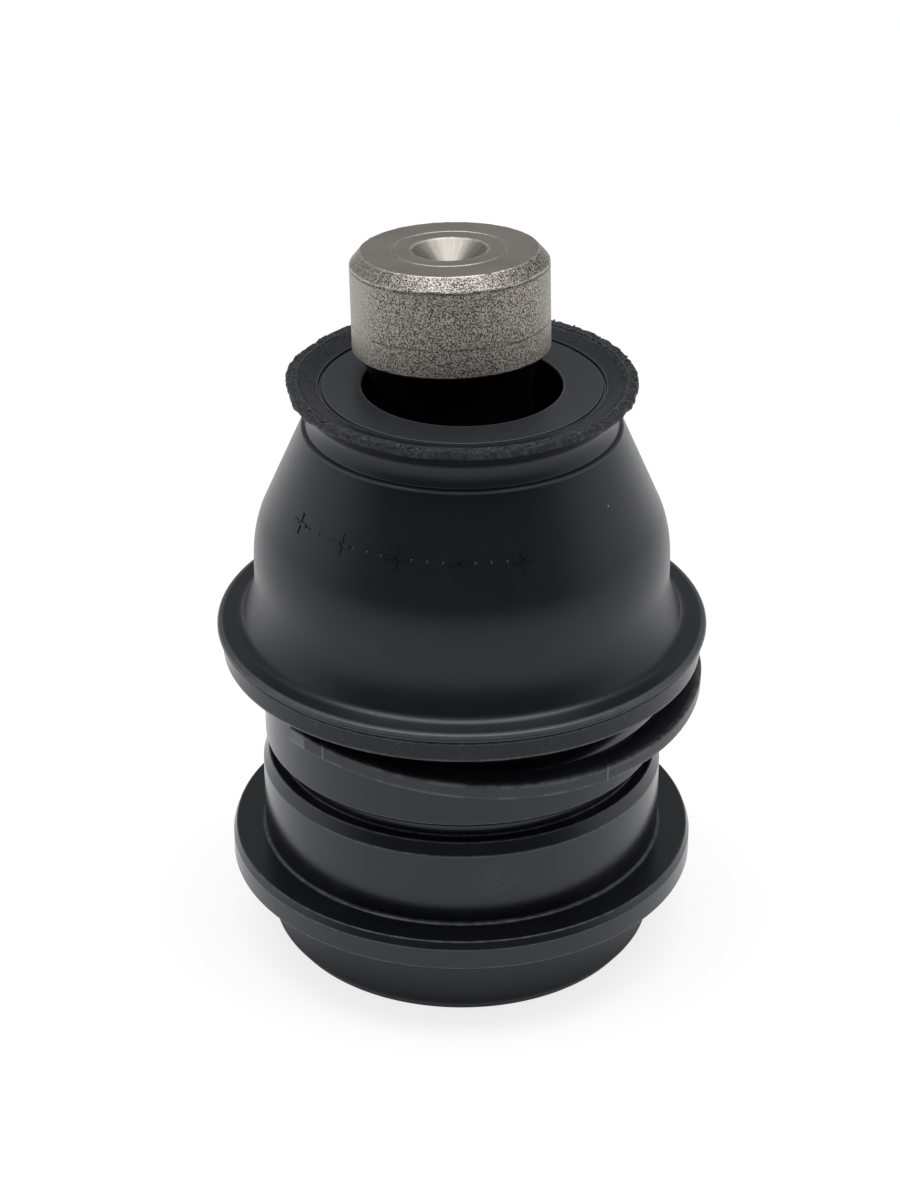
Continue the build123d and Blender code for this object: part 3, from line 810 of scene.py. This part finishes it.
class Shaping:
    """A geometry node tree being written, with its nodes made by one method."""

    def __init__(self, name, sizes):
        self.tree = bpy.data.node_groups.new(name, "GeometryNodeTree")
        self.tree.interface.new_socket("Geometry", in_out="INPUT", socket_type="NodeSocketGeometry")
        self.tree.interface.new_socket("Geometry", in_out="OUTPUT", socket_type="NodeSocketGeometry")
        self.sizes = sizes
        for key, value in sizes.items():
            kind = "NodeSocketInt" if isinstance(value, int) else "NodeSocketFloat"
            self.tree.interface.new_socket(key, in_out="INPUT", socket_type=kind)
        self.start = self.tree.nodes.new("NodeGroupInput")

    def given(self, name):
        return self.start.outputs[name]

    def node(self, kind, settings=None, sockets=None, out=0):
        made = self.tree.nodes.new(kind)
        for key, value in (settings or {}).items():
            setattr(made, key, value)
        for key, value in (sockets or {}).items():
            for given in value if isinstance(value, list) else [value]:
                if isinstance(given, bpy.types.NodeSocket):
                    self.tree.links.new(given, made.inputs[key])
                else:
                    made.inputs[key].default_value = given
        return made.outputs[out]

    def math(self, operation, one, other=0.0):
        return self.node("ShaderNodeMath", {"operation": operation}, {0: one, 1: other})

    def scattered(self, low, high, seed):
        """A random vector for each point."""
        sockets = {"Min": low, "Max": high, "Seed": seed}
        return self.node("FunctionNodeRandomValue", {"data_type": "FLOAT_VECTOR"}, sockets)

    def run(self, geometry, material):
        """Ends the tree, runs it with its sizes and returns the result as a plain mesh."""
        real = self.node("GeometryNodeRealizeInstances", sockets={"Geometry": geometry})
        painted = self.node("GeometryNodeSetMaterial", sockets={"Geometry": real, "Material": material})
        last = self.tree.nodes.new("NodeGroupOutput")
        self.tree.links.new(painted, last.inputs[0])
        carrier = bpy.data.objects.new("carrier", bpy.data.meshes.new("carrier"))
        scene.collection.objects.link(carrier)
        modifier = carrier.modifiers.new("shape", "NODES")
        modifier.node_group = self.tree
        for item in self.tree.interface.items_tree:
            if item.item_type == "SOCKET" and item.in_out == "INPUT" and item.name in self.sizes:
                modifier[item.identifier] = self.sizes[item.name]
        seen = carrier.evaluated_get(bpy.context.evaluated_depsgraph_get())
        mesh = bpy.data.meshes.new_from_object(seen)
        mesh.name = self.tree.name
        bpy.data.objects.remove(carrier)
        return mesh


torn_flash = Surface("torn_flash")
flash_lumps = torn_flash.cloud(0.3, 3.0, 0.6)
flash_pale = torn_flash.step(flash_lumps, 0.4, 0.62)
flash_owner = torn_flash.close(
    Base_Color=torn_flash.colour(flash_pale, (0.006, 0.0063, 0.0075, 1.0), (0.034, 0.035, 0.035, 1.0)),
    Roughness=0.36 + 0.2 * flash_lumps,
    Normal=torn_flash.bump(flash_lumps, 0.03),
)
crumb_sizes = {"Rim Radius": 0.01615, "Rim Height": 0.05984, "Crumbs": 420, "Crumb Size": 0.00031}
crumbs = Shaping("torn_crumbs", crumb_sizes)
rim = crumbs.node(
    "GeometryNodeCurvePrimitiveCircle",
    {"mode": "RADIUS"},
    {"Resolution": crumbs.given("Crumbs"), "Radius": crumbs.given("Rim Radius")},
)
rim_height = crumbs.node("ShaderNodeCombineXYZ", {}, {2: crumbs.given("Rim Height")})
off_rim = crumbs.scattered((-0.00038, -0.00038, -0.00022), (0.00038, 0.00038, 0.00004), 5)
strewn = crumbs.node("ShaderNodeVectorMath", {"operation": "ADD"}, {0: rim_height, 1: off_rim})
rim = crumbs.node("GeometryNodeSetPosition", {}, {"Geometry": rim, "Offset": strewn})
ball = crumbs.node("GeometryNodeMeshIcoSphere", {}, {"Radius": 0.5, "Subdivisions": 2})
lumps = crumbs.node("ShaderNodeTexNoise", {}, {"Scale": 2.2, "Detail": 2.0}, out="Color")
pushed = crumbs.node("ShaderNodeVectorMath", {"operation": "SUBTRACT"}, {0: lumps, 1: (0.5, 0.5, 0.5)})
crumb = crumbs.node("GeometryNodeSetPosition", {}, {"Geometry": ball, "Offset": pushed})
shape_of_each = crumbs.scattered((0.6, 0.4, 0.3), (1.9, 1.1, 0.8), 9)
scaled = {0: shape_of_each, "Scale": crumbs.given("Crumb Size")}
size_of_each = crumbs.node("ShaderNodeVectorMath", {"operation": "SCALE"}, scaled)
turn_of_each = crumbs.scattered((-0.5, -0.5, 0.0), (0.5, 0.5, 6.28), 2)
strewn_crumbs = crumbs.node(
    "GeometryNodeInstanceOnPoints",
    {},
    {"Points": rim, "Instance": crumb, "Rotation": turn_of_each, "Scale": size_of_each},
)
torn_crumbs = piece("torn_crumbs", crumbs.run(strewn_crumbs, flash_owner), flash_owner)
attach(torn_crumbs, "stud_lean")


# BOOT'S MOULDED MARKS
# A row of raised plus signs with three dots between them, on the front of the cone.

marks = Shaping(
    "moulded_marks",
    {
        "Row Height": 0.0493,
        "Cone Radius": 0.01794,
        "Cone Slope": math.atan(cone_slope),
        "First Angle": math.radians(-147.0),
        "Row Angle": math.radians(75.0),
        "Marks": 17,
        "Sign Size": 0.002,
        "Stroke": 0.0003,
    },
)
row = marks.node(
    "GeometryNodeCurveArc",
    {"mode": "RADIUS"},
    {
        "Resolution": marks.given("Marks"),
        "Radius": marks.given("Cone Radius"),
        "Start Angle": marks.given("First Angle"),
        "Sweep Angle": marks.given("Row Angle"),
    },
)
row_height = marks.node("ShaderNodeCombineXYZ", {}, {2: marks.given("Row Height")})
row = marks.node("GeometryNodeSetPosition", {}, {"Geometry": row, "Offset": row_height})
sign, stroke = marks.given("Sign Size"), marks.given("Stroke")
level = marks.node("ShaderNodeCombineXYZ", {}, {0: sign, 1: stroke, 2: stroke})
upright = marks.node("ShaderNodeCombineXYZ", {}, {0: stroke, 1: sign, 2: stroke})
bars = [marks.node("GeometryNodeMeshCube", {}, {"Size": size}) for size in (level, upright)]
plus = marks.node("GeometryNodeJoinGeometry", {}, {0: bars})
dot_radius = marks.math("MULTIPLY", stroke, 0.62)
dot = marks.node("GeometryNodeMeshUVSphere", {}, {"Segments": 16, "Rings": 8, "Radius": dot_radius})
choice = marks.node("GeometryNodeGeometryToInstance", {}, {0: [plus, dot]})
number = marks.node("GeometryNodeInputIndex")
is_plus = marks.math("LESS_THAN", marks.math("MODULO", number, 4.0), 0.5)
at_mark = marks.node("GeometryNodeInputPosition")
mark_x = marks.node("ShaderNodeSeparateXYZ", {}, {0: at_mark})
mark_y = marks.node("ShaderNodeSeparateXYZ", {}, {0: at_mark}, out=1)
heading = marks.math("ADD", marks.math("ARCTAN2", mark_y, mark_x), math.pi / 2)
raised = marks.math("SUBTRACT", math.pi / 2, marks.given("Cone Slope"))
facing = marks.node("ShaderNodeCombineXYZ", {}, {0: raised, 2: heading})
marked = marks.node(
    "GeometryNodeInstanceOnPoints",
    {},
    {"Points": row, "Instance": choice, "Pick Instance": True, "Instance Index": is_plus, "Rotation": facing},
)
marks_mesh = marks.run(marked, rubber_owner)
keep_rest_place(marks_mesh)
moulded_marks = piece("moulded_marks", marks_mesh, rubber_owner)
seam_height * 0.001
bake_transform(moulded_marks)


# BOOT'S LIP RING
# A flat steel ring in the slot of the lip, which keeps the lip round. Only its inner edge shows through the hole.

lip_ring_finish = Surface("lip_ring_steel")
lip_ring_scale = lip_ring_finish.cloud(1.0, 4.0, 0.6)
give_finish(
    "boot_lip_ring",
    lip_ring_finish.close(
        Base_Color=lip_ring_finish.colour(lip_ring_scale, (0.02, 0.02, 0.022, 1.0), (0.05, 0.05, 0.052, 1.0)),
        Metallic=0.6,
        Roughness=0.4 + 0.2 * lip_ring_scale,
        Normal=lip_ring_finish.bump(lip_ring_scale, 0.005),
    ),
)


# SNAP RING
# Flat spring steel, blackened, coiled on edge into a split ring. It is parked on the neck, bowed and tilted, with its
# gap at the left, and goes down into the groove once the joint is pressed into the arm.

blackened = Surface("blackened_spring_steel")
on_edge = blackened.mask("worn_edge")
on_wall = blackened.mask("scuffed")
ring_drift = blackened.cloud(4.0, 3.0)
ring_grain = blackened.cloud(0.3, 3.0, 0.6)
drawn_out = blackened.vector(blackened.x * 1.6, blackened.y * 1.6, blackened.z * 0.25)
wall_streaks = blackened.cloud(1.0, 4.0, 0.7, at=drawn_out)
bare_line = blackened.step(blackened.cloud(3.2, 4.0, 0.7), 0.44, 0.56)
left_nick, right_nick = [blackened.step(abs(blackened.x - place), 0.09, 0.03) for place in (-13.07, 13.8)]
nicks = blackened.larger(left_nick, right_nick)
nicks = blackened.larger(nicks, blackened.step(blackened.x, -14.75, -15.0))
nicks = nicks * on_wall * blackened.step(blackened.y, -10.0, -14.0)
ring_tone = blackened.colour(ring_drift, (0.017, 0.0175, 0.022, 1.0), (0.024, 0.0245, 0.029, 1.0))
streaked = on_wall * blackened.step(wall_streaks, 0.35, 0.75) * 0.7
ring_tone = blackened.colour(streaked, ring_tone, (0.032, 0.032, 0.034, 1.0))
ring_tone = blackened.colour(on_edge * (0.15 + 0.85 * bare_line), ring_tone, (0.085, 0.085, 0.09, 1.0))
ring_tone = blackened.colour(nicks * 0.6, ring_tone, (0.22, 0.22, 0.22, 1.0))
blackened_owner = blackened.close(
    Base_Color=ring_tone,
    Roughness=0.26 + 0.1 * ring_grain + 0.05 * ring_drift,
    Normal=blackened.bump(ring_grain, 0.004),
    Specular_IOR_Level=0.46,
    Specular_Tint=cool_tint,
)

ring = Shaping(
    "coiled_snap_ring",
    {
        "Middle Radius": 0.0218,
        "Width": 0.0028,
        "Thickness": 0.0015,
        "Edge Rounding": 0.00018,
        "Half Gap": math.radians(24.0),
        "Bend Radius": 0.12876,
        "Tilt": math.radians(2.1),
        "Turn": math.radians(19.0),
        "Aside": 0.00062,
        "Height": 0.0275,
    },
)
first_angle = ring.math("SUBTRACT", ring.given("Half Gap"), math.pi)
sweep = ring.math("SUBTRACT", 2 * math.pi, ring.math("MULTIPLY", ring.given("Half Gap"), 2.0))
path = ring.node(
    "GeometryNodeCurveArc",
    {"mode": "RADIUS"},
    {"Resolution": 220, "Radius": ring.given("Middle Radius"), "Start Angle": first_angle, "Sweep Angle": sweep},
)
place = ring.node("GeometryNodeInputPosition")
along = ring.node("ShaderNodeSeparateXYZ", {}, {0: place})
rise = ring.math("DIVIDE", ring.math("MULTIPLY", along, along), ring.math("MULTIPLY", ring.given("Bend Radius"), 2.0))
bow = ring.node("ShaderNodeCombineXYZ", {}, {2: rise})
path = ring.node("GeometryNodeSetPosition", {}, {"Geometry": path, "Offset": bow})
path = ring.node("GeometryNodeSetCurveNormal", {"mode": "Z_UP"}, {"Curve": path})
section = ring.node(
    "GeometryNodeCurvePrimitiveQuadrilateral",
    {"mode": "RECTANGLE"},
    {"Width": ring.given("Width"), "Height": ring.given("Thickness")},
)
section = ring.node(
    "GeometryNodeFilletCurve",
    {"mode": "POLY"},
    {"Curve": section, "Radius": ring.given("Edge Rounding"), "Count": 3},
)
section = ring.node("GeometryNodeSubdivideCurve", {}, {"Curve": section, "Cuts": 4})
turn_in = ring.math("MULTIPLY", ring.given("Edge Rounding"), 1.05)
corner_x = ring.math("SUBTRACT", ring.math("MULTIPLY", ring.given("Width"), 0.5), turn_in)
corner_y = ring.math("SUBTRACT", ring.math("MULTIPLY", ring.given("Thickness"), 0.5), turn_in)
on_section = ring.node("GeometryNodeInputPosition")
across = ring.node("ShaderNodeSeparateXYZ", {}, {0: on_section})
upward = ring.node("ShaderNodeSeparateXYZ", {}, {0: on_section}, out=1)
past_x = ring.math("GREATER_THAN", ring.math("ABSOLUTE", across), corner_x)
past_y = ring.math("GREATER_THAN", ring.math("ABSOLUTE", upward), corner_y)
section = ring.node(
    "GeometryNodeStoreNamedAttribute",
    {"data_type": "FLOAT", "domain": "POINT"},
    {"Geometry": section, "Name": "worn_edge", "Value": ring.math("MULTIPLY", past_x, past_y)},
)
section = ring.node(
    "GeometryNodeStoreNamedAttribute",
    {"data_type": "FLOAT", "domain": "POINT"},
    {"Geometry": section, "Name": "scuffed", "Value": past_x},
)
swept = ring.node("GeometryNodeCurveToMesh", {}, {"Curve": path, "Profile Curve": section, "Fill Caps": True})
tilt = ring.node("ShaderNodeCombineXYZ", {}, {1: ring.given("Tilt")})
aside = ring.node("ShaderNodeCombineXYZ", {}, {0: ring.given("Aside")})
tilted = ring.node("GeometryNodeTransform", {}, {"Geometry": swept, "Rotation": tilt, "Translation": aside})
turn = ring.node("ShaderNodeCombineXYZ", {}, {2: ring.given("Turn")})
lift = ring.node("ShaderNodeCombineXYZ", {}, {2: ring.given("Height")})
placed = ring.node("GeometryNodeTransform", {}, {"Geometry": tilted, "Rotation": turn, "Translation": lift})
coiled_ring = piece("coiled_snap_ring", ring.run(placed, blackened_owner), blackened_owner)
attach(coiled_ring, "snap_ring")
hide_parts("snap_ring")
